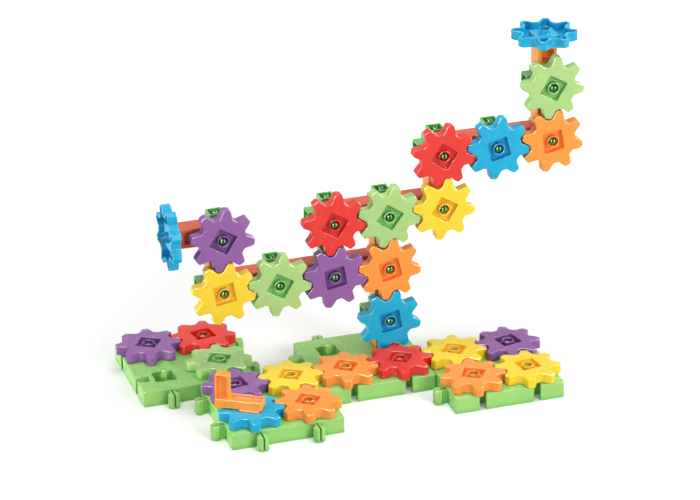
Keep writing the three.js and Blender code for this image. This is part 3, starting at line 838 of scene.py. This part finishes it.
ROUGHNESS = (0.22, 0.31)  # of moulded gloss, from its shiniest patches to its dullest
SHEEN_SPACING = 18 * MM  # distance between such patches
PEEL_SPACING, PEEL_DEPTH = 1.6 * MM, 0.1 * MM  # orange peel, drawn coarser than it is so that it shows
# Painted shade: within this reach of a wall, a point's colour is mixed towards the plastic's darker painted shade
# tint.
PAINTED_SHADE_REACH = 9 * MM  # how near a wall has to be to close a point in


def moulded(name, slot, tint, painted_shade_tint, gloss):
    """Glossy injection-moulded ABS. To the eye it is a soft shine with broad highlights, patches of slightly uneven
    sheen and very fine orange peel. Painted shade: ambient occlusion mixes the base colour towards a darker, deeper
    shade tint, more the more closed in a point lies, so that seats, hollows and corners are painted darker. This
    stands in for the shade and the coloured light that bounces about there."""
    material = bpy.data.materials.new(name)
    material["slot"] = slot
    material.use_nodes = True
    material.diffuse_color = (*tint, 1)
    tree = material.node_tree
    tree.nodes.clear()
    place = {"Vector": add_node(tree, "TexCoord").outputs["Object"]}
    sheen = {"Value": add_node(tree, "TexNoise", place, Scale=1 / SHEEN_SPACING, Detail=2.0).outputs["Fac"]}
    least, most = ROUGHNESS
    rough = add_node(tree, "MapRange", sheen, From_Min=0.3, From_Max=0.7, To_Min=least, To_Max=most)
    peel = {"Height": add_node(tree, "TexNoise", place, Scale=1 / PEEL_SPACING, Detail=1.0).outputs["Fac"]}
    bump = add_node(tree, "Bump", peel, Strength=0.05, Distance=PEEL_DEPTH)
    # Painted shade: ambient occlusion darkens the base colour towards the painted shade tint in hollows, seats and
    # corners.
    open_to = {"Value": add_node(tree, "AmbientOcclusion", samples=8, Distance=PAINTED_SHADE_REACH).outputs["AO"]}
    share = {"Factor": add_node(tree, "MapRange", open_to, From_Min=0.15, From_Max=0.85).outputs["Result"]}
    colour = add_node(tree, "Mix", share, data_type="RGBA", A=(*painted_shade_tint, 1), B=(*tint, 1))
    surface = {
        "Base Color": colour.outputs["Result"],
        "Roughness": rough.outputs["Result"],
        "Normal": bump.outputs["Normal"],
    }
    shader = add_node(tree, "BsdfPrincipled", surface, IOR=1.53, Specular_IOR_Level=gloss)
    add_node(tree, "OutputMaterial", {"Surface": shader.outputs["BSDF"]})
    return material


# Name of the plastic, its material slot, the darker tint painted into its hollows as shade, and its gloss
PLASTICS = {
    "plate": ("Moulded ABS, plate green", "plate_green", 0x3FA23E, 0.2),
    "hub": ("Moulded ABS, hub green", "hub_green", 0x1E7C2E, 0.35),
    "green": ("Moulded ABS, gear green", "gear_green", 0x3FA845, 0.2),
    "purple": ("Moulded ABS, purple", "gear_purple", 0x5A3472, 0.2),
    "red": ("Moulded ABS, red", "gear_red", 0xC8241F, 0.2),
    "yellow": ("Moulded ABS, yellow", "gear_yellow", 0xE6AA1A, 0.2),
    "orange": ("Moulded ABS, orange", "gear_orange", 0xEA7A26, 0.2),
    "blue": ("Moulded ABS, blue", "gear_blue", 0x087AB2, 0.2),
    "pillar": ("Moulded ABS, amber", "pillar_orange", 0xD8641A, 0.2),
    "beam": ("Moulded ABS, coral", "beam_coral", 0xB03A20, 0.2),
    "crank": ("Moulded ABS, crank amber", "crank_orange", 0xE07A20, 0.2),
}


def plastic(key):
    """The named plastic, made once in the colour that the user chose."""
    # The third column is the darker tint that is painted into hollows as shade.
    name, slot, painted_shade_tint, gloss = PLASTICS[key]
    tint = getattr(bpy.context.scene.toy_colours, key)
    return bpy.data.materials.get(name) or moulded(name, slot, tint, linear(painted_shade_tint), gloss)


# One operator for each group of pieces


class BuildPlates(bpy.types.Operator):
    """Build the four base plates with their tabs, posts and feet"""

    bl_idname = "toy.build_plates"
    bl_label = "Build Plates"

    def execute(self, context):
        sizes = context.scene.toy_plate
        for node, tabs in PLATE_TABS.items():
            low, high, _ = box_of(node)
            reach = sizes.side / 2
            x = high.x - reach if "left" in tabs else low.x + reach
            y = low.y + reach if "back" in tabs else high.y - reach
            place = Matrix.Translation((x, y, 0))
            body = mesh_of(node, plate_shells(sizes, tabs) + plate_fittings(sizes, tabs))
            dress(f"dressed_{node}", body, place, node, plastic("plate"))
        return {"FINISHED"}


class BuildGears(bpy.types.Operator):
    """Build every flat, upright and cap gear"""

    bl_idname = "toy.build_gears"
    bl_label = "Build Gears"

    def execute(self, context):
        gear = mesh_of("gear", [gear_shell(context.scene.toy_gear)])
        for node in sorted(name for name in NODES if "_gear_" in name):
            dress(f"dressed_{node}", gear, gear_place(node), node, plastic(node.rsplit("_", 1)[1]))
        return {"FINISHED"}


class BuildHubs(bpy.types.Operator):
    """Build the thirteen six-way hubs"""

    bl_idname = "toy.build_hubs"
    bl_label = "Build Hubs"

    def execute(self, context):
        sizes = context.scene.toy_hub
        hub = mesh_of("hub", hub_shells(sizes, ("front",)))
        for node in sorted(name for name in NODES if name.startswith("hub_")):
            _, high, middle = box_of(node)
            place = Matrix.Translation((middle.x, middle.y, high.z - sizes.arm_reach))
            dress(f"dressed_{node}", hub, place, node, plastic("hub"))
        return {"FINISHED"}


class BuildPillars(bpy.types.Operator):
    """Build the square pillars: coral ones lie along the row and amber ones stand"""

    bl_idname = "toy.build_pillars"
    bl_label = "Build Pillars"

    def execute(self, context):
        sizes = context.scene.toy_pillar
        for node in sorted(name for name in NODES if name.startswith(("beam", "upright"))):
            low, high, middle = box_of(node)
            lengths = high - low
            lying = lengths.x > lengths.z
            turn = spun("Y") if lying else Matrix.Identity(4)
            pillar = mesh_of("pillar", [pillar_shell(sizes, lengths.y, max(lengths))])
            material = plastic("beam" if lying else "pillar")
            dress(f"dressed_{node}", pillar, Matrix.Translation(middle) @ turn, node, material)
        low, high, middle = box_of(LOWEST_HUB)
        top = high.z - context.scene.toy_hub.arm_reach - sizes.start
        pillar = mesh_of("pillar", [pillar_shell(sizes, sizes.width, top - low.z)])
        place = Matrix.Translation((middle.x, middle.y, (low.z + top) / 2))
        dress("dressed_base_pillar", pillar, place, LOWEST_HUB, plastic("pillar"), stands_for=False)
        return {"FINISHED"}


class BuildCrank(bpy.types.Operator):
    """Build the hand crank on its blue gear"""

    bl_idname = "toy.build_crank"
    bl_label = "Build Crank"

    def execute(self, context):
        crank = mesh_of("crank", crank_shells(context.scene.toy_crank))
        dress("dressed_hand_crank", crank, gear_place(CRANK_GEAR), "hand_crank", plastic("crank"))
        return {"FINISHED"}


WHITE = (1, 1, 1, 1)
LIT_MIDDLE = Vector((0, 0, 0.12))  # where every lamp points
# Each lamp's place, its width and the setting that gives its power
LAMPS = {
    "Key light": ((1.0, -2.3, 1.3), 1.0, "key"),
    "Top light": ((0.4, 0.1, 2.2), 1.4, "top"),
    "Right fill": ((2.3, -0.6, 0.5), 1.0, "fill"),
    "Left fill": ((-2.3, 0.7, 0.45), 1.0, "side"),
}
# Each strip's place, width and height. None stands where the flat side of a tooth would mirror it whole.
STRIPS = {
    "Front panel": ((-1.0, -2.2, 1.5), 1.2, 1.0),
    "Top left strip": ((-1.2, -1.1, 1.9), 1.2, 0.4),
    "Top right strip": ((1.9, -0.8, 1.5), 0.8, 0.4),
    "Left strip": ((-2.1, -1.3, 0.9), 0.4, 1.6),
    "Right strip": ((2.2, -0.4, 0.9), 0.4, 1.6),
}


def seen_directly(tree):
    """One for rays from the camera, mirror reflections and refractions, zero for light that falls on things."""
    path = add_node(tree, "LightPath").outputs
    ends = {0: path["Is Camera Ray"], 1: path["Is Glossy Ray"]}
    first = add_node(tree, "Math", ends, operation="MAXIMUM").outputs[0]
    return add_node(tree, "Math", {0: first, 1: path["Is Transmission Ray"]}, operation="MAXIMUM").outputs[0]


def area_light(name, place, width, height, power):
    """A rectangular lamp that faces the toy."""
    light = bpy.data.lights.new(name, "AREA")
    light.shape = "RECTANGLE"
    light.size, light.size_y = width, height
    light.energy = power
    lamp = in_scene(name, light)
    lamp.location = place
    lamp.rotation_euler = (LIT_MIDDLE - Vector(place)).to_track_quat("-Z", "Y").to_euler()
    return lamp


def paper():
    """Matt white paper: no shine, so that only the toy's soft shadow shows on it. It is a little lighter to the camera
    than the lamps make it, and more so away from the toy, where their light falls off."""
    material = bpy.data.materials.new("Matt white paper")
    material.use_nodes = True
    tree = material.node_tree
    tree.nodes.clear()
    matt = add_node(tree, "BsdfDiffuse", Color=(0.86, 0.86, 0.86, 1)).outputs[0]
    place = {"Vector": add_node(tree, "TexCoord").outputs["Object"]}
    reach = {"Value": add_node(tree, "VectorMath", place, operation="LENGTH").outputs["Value"]}
    rise = add_node(tree, "MapRange", reach, From_Min=0.25, From_Max=0.9, To_Min=0.08, To_Max=0.45)
    lift = add_node(tree, "Emission", {"Strength": rise.outputs["Result"]}, Color=WHITE).outputs[0]
    lifted = add_node(tree, "AddShader", {0: matt, 1: lift}).outputs[0]
    mixed = add_node(tree, "MixShader", {0: seen_directly(tree), 1: matt, 2: lifted})
    add_node(tree, "OutputMaterial", {"Surface": mixed.outputs[0]})
    return material


class BuildStage(bpy.types.Operator):
    """Set up the pale floor, the soft lights, the sky and the camera"""

    bl_idname = "toy.build_stage"
    bl_label = "Build Stage"

    def execute(self, context):
        scene = context.scene
        settings = scene.toy_stage
        floor = bpy.data.meshes.new("floor")
        floor.from_pydata(level(square(settings.floor_size), 0), [], [(0, 1, 2, 3)])
        floor.materials.append(paper())
        in_scene("floor", floor)

        world = bpy.data.worlds.new("Soft white room")
        scene.world = world
        world.use_nodes = True
        tree = world.node_tree
        tree.nodes.clear()
        soft = add_node(tree, "Background", Color=WHITE, Strength=settings.sky).outputs[0]
        white = add_node(tree, "Background", Color=WHITE, Strength=1.0).outputs[0]
        mixed = add_node(tree, "MixShader", {0: seen_directly(tree), 1: soft, 2: white})
        add_node(tree, "OutputWorld", {"Surface": mixed.outputs[0]})

        for name, (place, width, key) in LAMPS.items():
            area_light(name, place, width, width, getattr(settings, key))
        for name, (place, width, height) in STRIPS.items():
            strip = area_light(name, place, width, height, settings.sparkle * width * height)
            strip.visible_diffuse = False

        camera = bpy.data.cameras.new("Camera")
        camera.sensor_fit = "HORIZONTAL"
        camera.lens = settings.lens
        camera.clip_end = settings.sight
        viewer = in_scene("Camera", camera)
        aim = spun("Z", settings.azimuth) @ spun("X", QUARTER - settings.elevation) @ spun("Z", settings.roll)
        viewer.matrix_world = Matrix.Translation(settings.spot) @ aim
        scene.camera = viewer
        scene.view_settings.view_transform = "Standard"
        return {"FINISHED"}


OPERATORS = (BuildPlates, BuildGears, BuildHubs, BuildPillars, BuildCrank, BuildStage)
SETTINGS = {
    "toy_plate": PlateSettings,
    "toy_gear": GearSettings,
    "toy_hub": HubSettings,
    "toy_pillar": PillarSettings,
    "toy_crank": CrankSettings,
    "toy_colours": ColourSettings,
    "toy_stage": StageSettings,
}


class ToyPanel(bpy.types.Panel):
    bl_idname = "VIEW3D_PT_gear_toy"
    bl_label = "Gear Toy"
    bl_space_type = "VIEW_3D"
    bl_region_type = "UI"
    bl_category = "Gear Toy"

    def draw(self, context):
        for operator in OPERATORS:
            self.layout.operator(operator.bl_idname)
        for attribute, group in SETTINGS.items():
            box = self.layout.box()
            box.label(text=group.__name__.replace("Settings", ""))
            for name in group.__annotations__:
                box.prop(getattr(context.scene, attribute), name)


def register():
    for kind in (*SETTINGS.values(), *OPERATORS, ToyPanel):
        bpy.utils.register_class(kind)
    for attribute, group in SETTINGS.items():
        setattr(bpy.types.Scene, attribute, bpy.props.PointerProperty(type=group))


def unregister():
    for attribute in SETTINGS:
        delattr(bpy.types.Scene, attribute)
    for kind in reversed((*SETTINGS.values(), *OPERATORS, ToyPanel)):
        bpy.utils.unregister_class(kind)


def main():
    register()
    bpy.ops.toy.build_plates()
    bpy.ops.toy.build_gears()
    bpy.ops.toy.build_hubs()
    bpy.ops.toy.build_pillars()
    bpy.ops.toy.build_crank()
    bpy.ops.toy.build_stage()
    bpy.context.view_layer.update()


if __name__ == "__main__":
    main()
